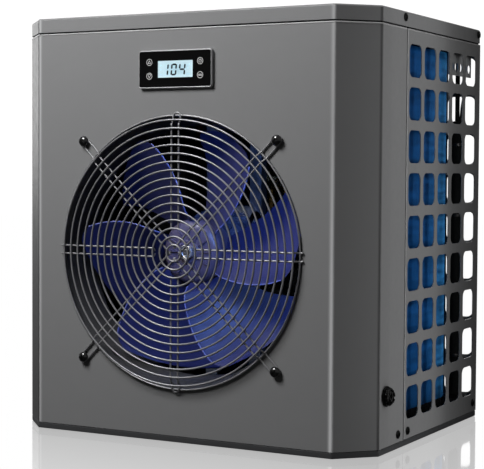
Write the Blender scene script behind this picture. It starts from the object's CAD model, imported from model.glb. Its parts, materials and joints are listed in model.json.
"""Pool heat pump: a sheet-metal cabinet with a fan behind a round wire guard.

The unit stands on z = 0, centred on x = y = 0. The front with fan and controller faces -Y,
the right side (+X) and the rear (+Y) carry grilles, the left side (-X) has the water
connections. Geometry is written in millimetres and scaled to metres when meshes are made.
"""
import bpy, bmesh, math, json
from mathutils import Vector, Matrix, Quaternion

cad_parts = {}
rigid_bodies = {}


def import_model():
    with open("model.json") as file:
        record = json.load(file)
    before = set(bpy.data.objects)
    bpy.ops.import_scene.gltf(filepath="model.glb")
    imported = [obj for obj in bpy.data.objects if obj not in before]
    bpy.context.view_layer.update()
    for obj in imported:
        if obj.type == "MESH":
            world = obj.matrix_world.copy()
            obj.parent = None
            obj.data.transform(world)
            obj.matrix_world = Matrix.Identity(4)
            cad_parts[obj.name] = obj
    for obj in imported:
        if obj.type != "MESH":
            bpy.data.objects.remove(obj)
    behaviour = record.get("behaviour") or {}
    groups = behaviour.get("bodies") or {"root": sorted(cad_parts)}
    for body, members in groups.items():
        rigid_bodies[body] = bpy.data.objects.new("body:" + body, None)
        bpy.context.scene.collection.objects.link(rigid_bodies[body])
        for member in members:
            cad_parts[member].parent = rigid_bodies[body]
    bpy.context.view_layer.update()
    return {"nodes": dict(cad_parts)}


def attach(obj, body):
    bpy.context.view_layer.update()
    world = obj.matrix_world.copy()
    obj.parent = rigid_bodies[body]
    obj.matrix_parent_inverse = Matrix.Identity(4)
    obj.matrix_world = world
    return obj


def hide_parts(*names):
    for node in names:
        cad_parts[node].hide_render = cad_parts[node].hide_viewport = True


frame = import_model()
NODES = frame["nodes"]
scene = bpy.context.scene

# ------------------------------------------------------------------ driving dimensions
MM = 0.001
PI = math.pi
SIDE_X, REAR_Y, HEIGHT = 209.5, 158.0, 440.0
FRONT_Y = -REAR_Y
CHAMFER_X, CHAMFER_Y = 34.7, 35.0        # the two cut-off front corners
CORNER_X = SIDE_X - CHAMFER_X            # bend between front and corner face
CORNER_Y = FRONT_Y + CHAMFER_Y           # bend between corner face and side
BEND_RADIUS = 3.2
BEND_TANGENT = 0.38268 / 0.92388         # tangent of half the 45 degree bend
SEAM_Y = -61.7                           # the front sheet wraps round to here
PANEL_BOTTOM, PANEL_TOP = 6.5, 423.1
LIP_BOTTOM = 424.6                       # lower edge of the top cover
UPSTAND_TOP = 436
EDGE = 0.22                              # edge rounding of punched sheet

FAN_Z = 195.0
FAN_CENTRE = (0, FRONT_Y, FAN_Z)
GUARD_SCREW = 114                        # offset of the guard screws from the fan centre

CELL = 33.4                              # square grille opening
COLUMN_PITCH, ROW_PITCH, ROWS = 41.2, 43.6, 9
GRILLE_BOTTOM = 26.3

CONTROL_X, CONTROL_Z, CONTROL_W, CONTROL_H = -2.2, 381.9, 87.0, 39.0
GLAND = (SIDE_X, -108.0, 57.6)
WATER_Y, INLET_Z, OUTLET_Z = 30, 92.0, 262.0

# (y, z) of the side screws; the first of each group goes through the front sheet
PANEL_SCREWS = ((-76, 14.7), (-50.2, 14.6), (145.5, 16.5))
COVER_SCREWS = ((-66.8, 433.7), (150.8, 434.1))
SIDES = ((1, "right"), (-1, "left"))


# ------------------------------------------------------------------ shader building
class Shader:
    """Node tree of a material or of the world."""

    def __init__(self, owner):
        owner.use_nodes = True
        self.owner, self.tree = owner, owner.node_tree
        self.tree.nodes.clear()

    def add(self, kind, inputs=None, **properties):
        """New node; each input is either linked to a socket or given a value."""
        node = self.tree.nodes.new("ShaderNode" + kind)
        for key, value in properties.items():
            setattr(node, key, value)
        for key, value in (inputs or {}).items():
            if isinstance(value, bpy.types.NodeSocket):
                self.tree.links.new(value, node.inputs[key])
            else:
                node.inputs[key].default_value = value
        return node

    def math(self, operation, *values):
        return self.add("Math", dict(enumerate(values)), operation=operation).outputs[0]

    def map_range(self, value, source=(0.0, 1.0), to=(0.0, 1.0), **properties):
        inputs = {"Value": value, "From Min": source[0], "From Max": source[1],
                  "To Min": to[0], "To Max": to[1]}
        return self.add("MapRange", inputs, **properties).outputs["Result"]

    def scale(self, vector, factor):
        inputs = {0: vector, "Scale": factor}
        return self.add("VectorMath", inputs, operation="SCALE").outputs[0]

    def color_ramp(self, factor, stops):
        """stops are (position, rgba)"""
        node = self.add("ValToRGB", {0: factor})
        elements = node.color_ramp.elements
        while len(elements) < len(stops):
            elements.new(0.5)
        for element, (position, color) in zip(elements, stops):
            element.position = position
            element.color = color
        return node.outputs[0]

    def gain_curve(self, distance, first, last, peak, stops):
        """Piecewise-linear gain over first..last; stops are (distance, gain up to peak)."""
        span = last - first
        position = self.math("DIVIDE", self.math("ADD", distance, -first), span)
        levels = [((d - first) / span, (v / peak, v / peak, v / peak, 1)) for d, v in stops]
        return self.math("MULTIPLY", self.color_ramp(position, levels), peak)


class MaterialShader(Shader):
    def __init__(self, name):
        super().__init__(bpy.data.materials.new(name))
        self.coords = self.add("TexCoord").outputs

    def xyz(self, coords="Object"):
        return self.add("SeparateXYZ", {0: self.coords[coords]}).outputs

    def noise(self, scale, detail=3.0, roughness=0.6, stretch=None):
        vector = self.coords["Object"]
        if stretch:
            vector = self.add("Mapping", {0: vector, "Scale": stretch}).outputs[0]
        inputs = {"Scale": scale, "Detail": detail, "Roughness": roughness, "Vector": vector}
        return self.add("TexNoise", inputs).outputs["Fac"]

    def noise_range(self, noise, low, high):
        """The busy middle of a noise spread over low..high."""
        return self.map_range(noise, source=(0.35, 0.65), to=(low, high))

    def tint(self, color, noise, spread):
        """Colour with a small brightness variation."""
        dark = [max(0.0, c * (1 - spread)) for c in color]
        light = [min(1.0, c * (1 + spread)) for c in color]
        inputs = {"A": (*dark, 1), "B": (*light, 1), "Factor": noise}
        return self.add("Mix", inputs, data_type="RGBA").outputs["Result"]

    def bump(self, grain, strength):
        height = self.noise(grain, detail=2.0, roughness=0.5)
        inputs = {"Strength": strength, "Distance": 0.0002, "Height": height}
        return self.add("Bump", inputs).outputs[0]

    def principled(self, inputs):
        """Ends the tree in a principled surface and returns the material."""
        bsdf = self.add("BsdfPrincipled", inputs)
        self.add("OutputMaterial", {0: bsdf.outputs[0]})
        return self.owner


# ------------------------------------------------------------------ materials
def surface(name, color, roughness, metallic=0.0, spread=0.10, scale=90, bump=0.0, grain=700,
            specular=0.5, coat=0.0, coat_roughness=0.1, roughness_spread=0.06, emission=None):
    """General surface: spread varies brightness, scale is the size of the variation, grain
    the fineness of the bump, emission a (colour, strength) pair."""
    shader = MaterialShader(name)
    inputs = {
        "Base Color": shader.tint(color, shader.noise(scale), spread),
        "Roughness": shader.noise_range(
            shader.noise(scale * 2.7, detail=4.0),
            max(0.02, roughness - roughness_spread), roughness + roughness_spread),
        "Metallic": metallic,
        "Specular IOR Level": specular,
        "Coat Weight": coat,
        "Coat Roughness": coat_roughness,
    }
    if bump:
        inputs["Normal"] = shader.bump(grain, bump)
    if emission:
        inputs["Emission Color"] = (*emission[0], 1)
        inputs["Emission Strength"] = emission[1]
    return shader.principled(inputs)


def powder_coat(name, color):
    """Satin powder coat; strips along the vertical bends are lightened or shaded."""
    shader = MaterialShader(name)
    calc = shader.math
    base = shader.tint(color, shader.noise(45), spread=0.025)
    x, y, z = (calc("MULTIPLY", axis, 1 / MM) for axis in shader.xyz())

    # distances in mm across the bend front/corner face and the bend corner face/side
    across = calc("ABSOLUTE", x)
    past_front = calc("ADD", calc("SUBTRACT", across, CORNER_X),
                      calc("MULTIPLY", calc("ADD", y, REAR_Y), BEND_TANGENT))
    past_side = calc("ADD", calc("MULTIPLY", calc("SUBTRACT", across, SIDE_X), BEND_TANGENT),
                     calc("ADD", y, -CORNER_Y))
    front = calc("MULTIPLY", calc("LESS_THAN", y, -100.0), calc("LESS_THAN", z, 438.4))
    right = calc("MULTIPLY", calc("GREATER_THAN", x, 0.0), front)
    left = calc("MULTIPLY", calc("LESS_THAN", x, 0.0), front)

    # right: a lit strip at the first bend, stronger low down
    strip = shader.gain_curve(past_front, -10.0, 10.0, 1.0, [
        (-6, 0), (-4.5, 0.16), (-3.4, 0.55), (-2.4, 0.95), (-1.3, 1.0), (-0.2, 0.80),
        (0.9, 0.30), (2.0, 0)])
    by_height = shader.map_range(z, source=(20, 330), to=(2.25, 0.70))
    lit = calc("ADD", calc("MULTIPLY", calc("MULTIPLY", strip, by_height), right), 1.0)
    # right: a shaded strip at the second bend
    shade = shader.gain_curve(past_side, -10.0, 10.0, 1.0, [
        (-3.6, 0), (-2.2, 0.45), (-1.2, 0.66), (-0.2, 0.60), (0.8, 0.15), (2, 0)])
    shaded = calc("SUBTRACT", 1.0, calc("MULTIPLY", shade, right))
    # left: a lit strip, then the first bend and the corner face in shade
    left_gain = shader.gain_curve(past_front, -10.0, 10.0, 2.1, [
        (-6, 1), (-5, 1.04), (-3.8, 1.37), (-2.5, 2.1), (-1.4, 1.8), (-0.7, 0.6),
        (0.2, 0.05), (1.4, 0.22), (2.6, 0.30), (9.9, 0.30)])
    on_side = calc("GREATER_THAN", past_side, -0.5)
    left_gain = calc("ADD", calc("MULTIPLY", left_gain, calc("SUBTRACT", 1.0, on_side)), on_side)
    left_gain = calc("ADD", calc("MULTIPLY", left_gain, left), calc("SUBTRACT", 1.0, left))
    gain = calc("MULTIPLY", calc("MULTIPLY", lit, shaded), left_gain)

    # right corner face: slightly darker towards the top
    corner = calc("MULTIPLY", calc("MULTIPLY", right, calc("GREATER_THAN", past_front, 1.0)),
                  calc("LESS_THAN", past_side, -1.0))
    darker = shader.map_range(z, source=(60, 420), to=(0.0, 0.17))
    gain = calc("MULTIPLY", gain, calc("SUBTRACT", 1.0, calc("MULTIPLY", corner, darker)))

    # right side: a broad sheen behind the middle, shade towards the rear
    side = calc("MULTIPLY", calc("GREATER_THAN", x, 208.0), calc("GREATER_THAN", y, -100.0))
    sheen = shader.gain_curve(y, -100.0, REAR_Y, 2.0, [
        (-100, 1.03), (-62, 1.03), (-40, 1.06), (0, 1.27), (22, 1.36), (42, 1.33),
        (62, 1.08), (80, 0.98), (120, 0.90), (158, 0.70)])
    side_gain = calc("ADD", calc("MULTIPLY", calc("SUBTRACT", sheen, 1.0), side), 1.0)
    gain = calc("MULTIPLY", gain, side_gain)
    return shader.principled({
        "Base Color": shader.scale(base, gain),
        "Roughness": shader.noise_range(shader.noise(120, detail=4.0), 0.40, 0.50),
        "Specular IOR Level": 0.30,
        "Normal": shader.bump(grain=1400, strength=0.10),
    })


def fin_coat():
    """Blue coat on thin fins, with a soft glow opposite the openings of the grille."""
    shader = MaterialShader("fin_blue_coat")
    calc = shader.math
    base = shader.tint((0.022, 0.150, 0.42), shader.noise(120, stretch=(1, 1, 0.15)), spread=0.18)
    x, y, z = shader.xyz()
    # x, y, z are in metres here; the glow colour changes along y
    along = shader.map_range(y, source=(0.035, 0.080))
    glow = shader.color_ramp(along, [(0.0, (0.0014, 0.0140, 0.0400, 1)),
                                     (1.0, (0.0085, 0.0500, 0.0980, 1))])
    streaks = shader.noise_range(shader.noise(60, stretch=(0.4, 0.4, 3.2)), 0.45, 1.65)
    low = shader.map_range(z, source=(0.028, 0.066), to=(0.10, 1.0))
    outer = calc("GREATER_THAN", x, 0.1845)
    level = calc("MULTIPLY", streaks, calc("MULTIPLY", low, outer))

    # repeating grille rows, drawn slightly together about z = 280 for the viewing distance
    height = calc("MULTIPLY", z, 1 / MM)
    shift = calc("MULTIPLY", calc("SUBTRACT", height, 280.0), 0.0187)
    rows_start = GRILLE_BOTTOM - 10 * ROW_PITCH
    row = calc("MODULO", calc("SUBTRACT", calc("SUBTRACT", height, rows_start), shift), ROW_PITCH)
    # soft lower and upper edges of 4 and 6 mm
    opening = calc("MINIMUM", calc("DIVIDE", row, 4.0),
                   calc("DIVIDE", calc("SUBTRACT", CELL, row), 6.0))
    opening = calc("MINIMUM", calc("MAXIMUM", opening, 0.0), 1.0)
    level = calc("MULTIPLY", level, calc("ADD", calc("MULTIPLY", opening, 0.72), 0.28))
    return shader.principled({
        "Base Color": base,
        "Roughness": 0.34,
        "Metallic": 0.25,
        "Emission Color": shader.scale(glow, level),
        "Emission Strength": 1.0,
    })


def lcd_backlight():
    """Pale blue back-lit panel whose colour changes towards the edges."""
    shader = MaterialShader("lcd_backlight")
    x, _, z = shader.xyz("Generated")

    def from_middle(axis):
        return shader.math("ABSOLUTE", shader.math("SUBTRACT", axis, 0.5))

    edge = shader.math("MAXIMUM", from_middle(x), from_middle(z))
    factor = shader.math("MULTIPLY_ADD", shader.noise(260), 0.10, edge)
    return shader.principled({
        "Base Color": (0.05, 0.08, 0.09, 1),
        "Roughness": 0.25,
        "Emission Color": shader.color_ramp(factor, [(0.10, (0.50, 0.70, 0.79, 1)),
                                                     (0.56, (0.74, 0.91, 0.97, 1))]),
        "Emission Strength": 0.92,
    })


def clear_window():
    shader = MaterialShader("clear_window")
    noise = shader.noise(120, detail=2, roughness=0.5)
    return shader.principled({
        "Base Color": shader.tint((0.93, 0.97, 1.0), noise, spread=0.02),
        "Transmission Weight": 1.0,
        "Roughness": 0.02,
        "IOR": 1.08,
    })


MATERIALS = {
    "cabinet_paint": powder_coat("powder_coat_graphite", (0.232, 0.233, 0.236)),
    "paint_edge": surface("powder_coat_rolled_edge", (0.43, 0.43, 0.435), roughness=0.36,
                          spread=0.05, scale=60, bump=0.05, grain=1400, specular=0.4),
    "joggle_dark": surface("powder_coat_shadow", (0.004, 0.004, 0.0045), roughness=0.6,
                           spread=0.05, scale=60, bump=0.1, grain=1400, specular=0.2),
    "base_sheet": surface("pan_dark_grey", (0.055, 0.056, 0.059), roughness=0.5,
                          spread=0.08, scale=60, bump=0.1, grain=1100, specular=0.3),
    "dark_sheet": surface("outlet_dark_grey", (0.075, 0.076, 0.080), roughness=0.40,
                          spread=0.08, scale=60, bump=0.1, grain=1100, specular=0.45),
    "guard_wire": surface("guard_dark_chrome", (0.30, 0.30, 0.31), roughness=0.42, metallic=0.55),
    "fan_blue": surface("fan_moulded_blue", (0.034, 0.035, 0.094), roughness=0.34,
                        scale=40, bump=0.02, grain=500, specular=0.20),
    "fan_hub_blue": surface("fan_hub_blue", (0.105, 0.085, 0.125), roughness=0.34,
                            scale=60, bump=0.03, grain=500),
    "fan_rim": surface("fan_edge_worn_blue", (0.15, 0.16, 0.34), roughness=0.35),
    "brass": surface("turned_brass", (0.78, 0.52, 0.20), roughness=0.26, metallic=1.0,
                     spread=0.12, scale=160, bump=0.2, grain=1200),
    "steel": surface("turned_steel", (0.60, 0.61, 0.62), roughness=0.28, metallic=1.0,
                     scale=150, bump=0.2, grain=1500),
    "zinc_sheet": surface("zinc_spangle", (0.42, 0.43, 0.44), roughness=0.38, metallic=1.0,
                          spread=0.18, scale=70, bump=0.1, grain=500),
    "motor_zinc": surface("motor_dark_enamel", (0.060, 0.070, 0.110), roughness=0.24,
                          spread=0.12, scale=80, bump=0.15),
    "gloss_black": surface("polished_black", (0.0016, 0.0016, 0.0018), roughness=0.09,
                           scale=50, bump=0.01, specular=0.16, coat_roughness=0.03,
                           roughness_spread=0.02),
    "trim_silver": surface("satin_silver_trim", (0.40, 0.40, 0.41), roughness=0.42, metallic=0.35,
                           spread=0.04, scale=120, specular=0.4, roughness_spread=0.02),
    "key_black": surface("key_satin_black", (0.004, 0.004, 0.0045), roughness=0.24,
                         scale=80, bump=0.02, grain=900, specular=0.2),
    "print_grey": surface("printed_light_grey", (0.52, 0.52, 0.52), roughness=0.45,
                          spread=0.04, scale=200, bump=0.02, grain=1500, specular=0.3,
                          emission=((0.5, 0.5, 0.5), 0.30)),
    "black_plastic": surface("moulded_black", (0.004, 0.004, 0.0045), roughness=0.30,
                             bump=0.12, grain=800),
    "seal_rubber": surface("black_rubber", (0.012, 0.012, 0.012), roughness=0.72,
                           spread=0.15, bump=0.25, specular=0.25),
    "foam_black": surface("foam_sleeve_black", (0.006, 0.007, 0.007), roughness=0.75,
                          spread=0.12, bump=0.4, specular=0.12),
    "plated_nut": surface("fan_nut_plated", (0.62, 0.59, 0.50), roughness=0.30, metallic=0.75,
                          scale=150, bump=0.05, grain=900),
    "gland_black": surface("gland_polyamide", (0.0018, 0.0018, 0.002), roughness=0.24,
                           specular=0.16, roughness_spread=0.03),
    "pan_black": surface("pan_screw_black", (0.0015, 0.0015, 0.0018), roughness=0.30,
                         scale=150, specular=0.12, roughness_spread=0.02),
    "screw_black": surface("screw_black_oxide", (0.003, 0.003, 0.0035), roughness=0.14,
                           scale=150, specular=0.8, coat=0.3, coat_roughness=0.06,
                           roughness_spread=0.02),
    "copper": surface("drawn_copper", (0.62, 0.30, 0.16), roughness=0.30, metallic=1.0,
                      spread=0.15, scale=120, bump=0.15),
    "compressor_paint": surface("black_enamel", (0.012, 0.012, 0.013), roughness=0.26,
                                spread=0.12, scale=70, bump=0.12, grain=500, specular=0.6),
    "grey_plastic": surface("grey_pvc", (0.26, 0.27, 0.28), roughness=0.38,
                            spread=0.05, bump=0.08, specular=0.4),
    "circuit_board": surface("board_green", (0.03, 0.16, 0.07), roughness=0.42,
                             spread=0.35, scale=260, bump=0.15, grain=500, specular=0.4),
    "fin_blue": fin_coat(),
    "lcd_glass": lcd_backlight(),
    "clear_window": clear_window(),
    "lcd_ink": surface("lcd_segment_ink", (0.006, 0.016, 0.030), roughness=0.4,
                       scale=100, specular=0.1),
    "lcd_ghost": surface("lcd_segment_off", (0.30, 0.50, 0.60), roughness=0.4,
                         scale=100, specular=0.2, emission=((0.42, 0.70, 0.80), 0.62)),
}


# ------------------------------------------------------------------ objects from shells
# A shell is a (points, faces) pair in millimetres.
def make_mesh(name, shells):
    points, faces = [], []
    for shell_points, shell_faces in shells:
        first = len(points)
        points += [(x * MM, y * MM, z * MM) for x, y, z in shell_points]
        faces += [tuple(i + first for i in face) for face in shell_faces]
    mesh = bpy.data.meshes.new(name)
    mesh.from_pydata(points, [], faces)
    mesh.validate()
    mesh.update()
    return mesh


def add_object(name, mesh, material, body="cabinet", replaces=None, slot=None, angle=32,
               weighted=True):
    ob = bpy.data.objects.new(name, mesh)
    bm = bmesh.new()
    bm.from_mesh(mesh)
    bmesh.ops.remove_doubles(bm, verts=bm.verts, dist=2e-6)
    bmesh.ops.dissolve_degenerate(bm, edges=bm.edges, dist=1e-7)
    bmesh.ops.recalc_face_normals(bm, faces=bm.faces)
    bm.to_mesh(mesh)
    bm.free()
    mesh.materials.clear()
    mesh.materials.append(MATERIALS[material])
    mesh.shade_smooth()
    mesh.set_sharp_from_angle(angle=math.radians(angle))
    if weighted:
        normals = ob.modifiers.new("wn", "WEIGHTED_NORMAL")
        normals.keep_sharp = True
        normals.weight = 80
    scene.collection.objects.link(ob)
    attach(ob, body)
    if replaces:
        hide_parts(replaces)


def build(name, shells, material, **options):
    add_object(name, make_mesh(name, shells), material, **options)


# ------------------------------------------------------------------ plane outlines
# All outlines run counter-clockwise.
def rect(x0, x1, y0, y1):
    return [(x0, y0), (x1, y0), (x1, y1), (x0, y1)]


def rounded_rect(cx, cy, width, height, radius, steps=5):
    x0, x1 = cx - width / 2 + radius, cx + width / 2 - radius
    y0, y1 = cy - height / 2 + radius, cy + height / 2 - radius
    points = []
    for x, y, start in ((x1, y1, 0), (x0, y1, PI / 2), (x0, y0, PI), (x1, y0, 1.5 * PI)):
        for k in range(steps + 1):
            angle = start + PI / 2 * k / steps
            points.append((x + radius * math.cos(angle), y + radius * math.sin(angle)))
    return points


def circle(cx, cy, radius, count):
    angles = [2 * PI * k / count for k in range(count)]
    return [(cx + radius * math.cos(a), cy + radius * math.sin(a)) for a in angles]


def round_corners(points, radii, steps=5):
    """Closed outline with every corner replaced by an arc."""
    rounded = []
    for i, radius in enumerate(radii):
        corner = Vector(points[i])
        back = (Vector(points[i - 1]) - corner).normalized()
        ahead = (Vector(points[(i + 1) % len(points)]) - corner).normalized()
        half = back.angle(ahead) / 2
        centre = corner + (back + ahead).normalized() * (radius / math.sin(half))
        reach = radius / math.tan(half)
        start, end = corner + back * reach - centre, corner + ahead * reach - centre
        first = math.atan2(start.y, start.x)
        turn = (math.atan2(end.y, end.x) - first + PI) % (2 * PI) - PI
        for k in range(steps + 1):
            angle = first + turn * k / steps
            rounded.append((centre.x + radius * math.cos(angle),
                            centre.y + radius * math.sin(angle)))
    return rounded


# ------------------------------------------------------------------ shells
# faces of a box whose corners are listed by three nested loops over its extents
BOX_FACES = [(0, 1, 3, 2), (4, 6, 7, 5), (0, 4, 5, 1), (2, 3, 7, 6), (0, 2, 6, 4), (1, 5, 7, 3)]

# two directions across, then the one along the axis
AXES = {
    "x": (Vector((0, 1, 0)), Vector((0, 0, 1)), Vector((1, 0, 0))),
    "y": (Vector((1, 0, 0)), Vector((0, 0, 1)), Vector((0, 1, 0))),
    "z": (Vector((1, 0, 0)), Vector((0, 1, 0)), Vector((0, 0, 1))),
}


def skin(rings, closed=False):
    """Solid through equal rings of points; closed joins the last ring to the first."""
    size, count = len(rings[0]), len(rings)
    faces = []
    for k in range(count if closed else count - 1):
        a, b = k * size, (k + 1) % count * size
        for i in range(size):
            j = (i + 1) % size
            faces.append((a + i, a + j, b + j, b + i))
    if not closed:
        faces.append(tuple(reversed(range(size))))
        faces.append(tuple(range((count - 1) * size, count * size)))
    return [point for ring in rings for point in ring], faces


def lathe(profile, segments, axis="z", centre=(0, 0, 0), modify=None):
    """Turned solid; profile is (radius, height along the axis) and closes on itself.
    modify(angle, radius, height) may change the radius."""
    u, v, w = AXES[axis]
    centre = Vector(centre)
    points, rings, faces = [], [], []
    for radius, height in profile:
        middle = centre + w * height
        if radius < 1e-6:
            rings.append([len(points)])
            points.append(middle)
            continue
        rings.append(list(range(len(points), len(points) + segments)))
        for i in range(segments):
            a = 2 * PI * i / segments
            r = modify(a, radius, height) if modify else radius
            points.append(middle + u * r * math.cos(a) + v * r * math.sin(a))
    for k, ring in enumerate(rings):
        after = rings[(k + 1) % len(rings)]
        if len(ring) == 1 and len(after) == 1:
            continue
        for i in range(segments):
            j = (i + 1) % segments
            if len(ring) == 1:
                faces.append((ring[0], after[i], after[j]))
            elif len(after) == 1:
                faces.append((ring[i], after[0], ring[j]))
            else:
                faces.append((ring[i], after[i], after[j], ring[j]))
    return points, faces


def wave(angle, count):
    """0..1 wave with count crests round a turned part"""
    return 0.5 + 0.5 * math.cos(count * angle)


def fillet_path(points, radius, steps=5):
    """3D polyline with rounded corners"""
    points = [Vector(p) for p in points]
    path = [points[0]]
    for before, corner, after in zip(points, points[1:], points[2:]):
        back, ahead = before - corner, after - corner
        room = min(back.length, ahead.length) * 0.49
        back.normalize()
        ahead.normalize()
        half = back.angle(ahead) / 2
        reach = min(radius / math.tan(half), room)
        to_centre = reach * math.tan(half) / math.sin(half)
        centre = corner + (back + ahead).normalized() * to_centre
        start, end = corner + back * reach - centre, corner + ahead * reach - centre
        axis = start.cross(end).normalized()
        turn = start.angle(end)
        path += [centre + Quaternion(axis, turn * k / steps) @ start for k in range(steps + 1)]
    return path + [points[-1]]


def sweep(path, radius, sides=10, closed=False):
    """Round wire along a path; an open wire has rounded ends."""
    points = [Vector(p) for p in path]
    count = len(points)
    tangents = []
    for i in range(count):
        before = points[(i - 1) % count] if closed or i > 0 else points[i]
        after = points[(i + 1) % count] if closed or i < count - 1 else points[i]
        tangents.append((after - before).normalized())
    normal = Vector((0, 0, 1)) if abs(tangents[0].z) < 0.9 else Vector((1, 0, 0))
    stations = []
    for point, tangent in zip(points, tangents):
        normal = (normal - tangent * normal.dot(tangent)).normalized()
        stations.append((point, tangent, normal, radius))

    def rounded_end(index, outward):
        point, tangent, normal, _ = stations[index]
        return [(point + tangent * (outward * radius * (1 - f) * 0.9), tangent, normal,
                 radius * (0.25 + 0.75 * math.sin(f * PI / 2))) for f in (0.0, 0.55, 0.9)]

    if not closed:
        stations = rounded_end(0, -1) + stations + rounded_end(-1, 1)[::-1]
    rings = []
    for point, tangent, normal, ring_radius in stations:
        across = tangent.cross(normal).normalized()
        angles = [2 * PI * k / sides for k in range(sides)]
        rings.append([point + (normal * math.cos(a) + across * math.sin(a)) * ring_radius
                      for a in angles])
    return skin(rings, closed)


def inset(outline, distance):
    points = []
    for i in range(len(outline)):
        point = Vector(outline[i])
        arriving = (point - Vector(outline[i - 1])).normalized()
        leaving = (Vector(outline[(i + 1) % len(outline)]) - point).normalized()
        normal = Vector((-arriving.y, arriving.x))
        middle = (normal + Vector((-leaving.y, leaving.x))).normalized()
        moved = point + middle * (distance / middle.dot(normal))
        points.append((moved.x, moved.y))
    return points


def prism(outline, low, high, axis="y", bevel=0.0):
    """Solid between low and high along the axis; outline is (x, z) for y, (x, y) for z."""
    levels = [(0, low), (0, high)]
    if bevel:
        curve = [(bevel * (1 - math.sin(a)), bevel * (1 - math.cos(a)))
                 for a in (0, PI / 4, PI / 2)]
        levels = [(d, low + rise) for d, rise in curve]
        levels += [(d, high - rise) for d, rise in curve[::-1]]
    rings = []
    for distance, h in levels:
        ring = inset(outline, distance) if distance else outline
        rings.append([(p[0], h, p[1]) if axis == "y" else (p[0], p[1], h) for p in ring])
    return skin(rings)


# ------------------------------------------------------------------ sheet metal
def flat_sheet(outer, holes, thickness):
    """bmesh of a flat sheet centred on its own plane, in metres. The edge rounding grows
    the metal by EDGE, so outlines are drawn smaller and holes larger by that much."""
    curve = bpy.data.curves.new("tmp", "CURVE")
    curve.dimensions = "2D"
    curve.fill_mode = "BOTH"
    curve.extrude = (thickness / 2 - EDGE) * MM
    curve.bevel_depth = EDGE * MM
    curve.bevel_resolution = 1
    for points in [outer] + [hole[::-1] for hole in holes]:
        spline = curve.splines.new("POLY")
        spline.points.add(len(points) - 1)
        for target, (x, y) in zip(spline.points, points):
            target.co = (x * MM, y * MM, 0, 1)
        spline.use_cyclic_u = True
    ob = bpy.data.objects.new("tmp", curve)
    scene.collection.objects.link(ob)
    bpy.context.view_layer.update()
    depsgraph = bpy.context.evaluated_depsgraph_get()
    mesh = bpy.data.meshes.new_from_object(ob.evaluated_get(depsgraph))
    bpy.data.objects.remove(ob)
    bpy.data.curves.remove(curve)
    bm = bmesh.new()
    bm.from_mesh(mesh)
    bpy.data.meshes.remove(mesh)
    bmesh.ops.remove_doubles(bm, verts=bm.verts, dist=2e-6)
    return bm


def sheet(name, outer, holes, thickness, place, material, replaces=None, cuts=()):
    """Flat pattern moved into position by place(u, v, height above the mid plane)."""
    bm = flat_sheet(outer, holes, thickness)
    for cut in cuts:
        geometry = bm.verts[:] + bm.edges[:] + bm.faces[:]
        bmesh.ops.bisect_plane(bm, geom=geometry, dist=1e-8,
                               plane_co=(cut * MM, 0, 0), plane_no=(1, 0, 0))
    for vert in bm.verts:
        vert.co = Vector(place(*(vert.co / MM))) * MM
    mesh = bpy.data.meshes.new(name)
    bm.to_mesh(mesh)
    bm.free()
    add_object(name, mesh, material, replaces=replaces)


class Fold:
    """Places a developed length on a line of left-hand corners bent to an outer radius."""

    def __init__(self, corners, radius):
        self.radius = radius
        self.straights, self.bends = [], []
        corners = [Vector(c) for c in corners]
        directions = [(b - a).normalized() for a, b in zip(corners, corners[1:])]
        here, travelled = corners[0], 0.0
        for i, along in enumerate(directions):
            corner = corners[i + 1]
            last = i == len(directions) - 1
            turn = 0.0 if last else along.angle(directions[i + 1])
            reach = radius * math.tan(turn / 2)
            end = corner - along * reach
            start, travelled = travelled, travelled + (end - here).length
            self.straights.append((start, travelled, here, along))
            if not last:
                centre = end + Vector((-along.y, along.x)) * radius
                first = math.atan2(end.y - centre.y, end.x - centre.x)
                start, travelled = travelled, travelled + radius * turn
                self.bends.append((start, travelled, centre, first, turn))
                here = corner + directions[i + 1] * reach
        self.length = travelled

    def at(self, u):
        """Point of the outer face and its outward normal."""
        for start, end, centre, first, turn in self.bends:
            if start + 1e-9 < u <= end + 1e-9:
                angle = first + turn * (u - start) / (end - start)
                outward = Vector((math.cos(angle), math.sin(angle)))
                return centre + outward * self.radius, outward
        for start, end, origin, along in self.straights:
            if u <= end + 1e-9 or end == self.length:
                return origin + along * (u - start), Vector((along.y, -along.x))

    def cuts(self, steps=6):
        return [start + (end - start) * i / steps
                for start, end, *_ in self.bends for i in range(steps + 1)]


fold = Fold([(-SIDE_X, SEAM_Y), (-SIDE_X, CORNER_Y), (-CORNER_X, FRONT_Y),
             (CORNER_X, FRONT_Y), (SIDE_X, CORNER_Y), (SIDE_X, SEAM_Y)], BEND_RADIUS)
MIDDLE_U = fold.length / 2


def u_of_side(y, side):
    """Developed position of a point at y on the right (1) or left (-1) side."""
    start, _, origin, _ = fold.straights[-1]
    u = start + (y - origin.y)
    return u if side > 0 else fold.length - u


def folded_sheet(name, z0, z1, holes, thickness, depth, material, replaces=None):
    """Full-length front sheet; depth is how far its outer face sits inside the fold line."""
    def place(u, z, height):
        point, outward = fold.at(u)
        spot = point + outward * (height - thickness / 2 - depth)
        return spot.x, spot.y, z

    sheet(name, rect(EDGE, fold.length - EDGE, z0, z1), holes, thickness, place, material,
          replaces, fold.cuts())


def wall_sheet(name, axis, plane, outer, holes, thickness, material, replaces=None, side=1):
    """Vertical flat sheet, outlines (y, z) for axis x and (x, z) for axis y. plane is its
    outer face, side the direction that face looks."""
    def place(a, z, height):
        across = plane + side * (height - thickness / 2)
        return (across, a, z) if axis == "x" else (a, across, z)

    sheet(name, outer, holes, thickness, place, material, replaces)


# ------------------------------------------------------------------ cabinet panels
def panel_hole(u, z):
    return circle(u, z, 1.9 + EDGE, 12)


def cover_hole(u, z):
    return circle(u, z, 2.1, 12)


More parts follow.
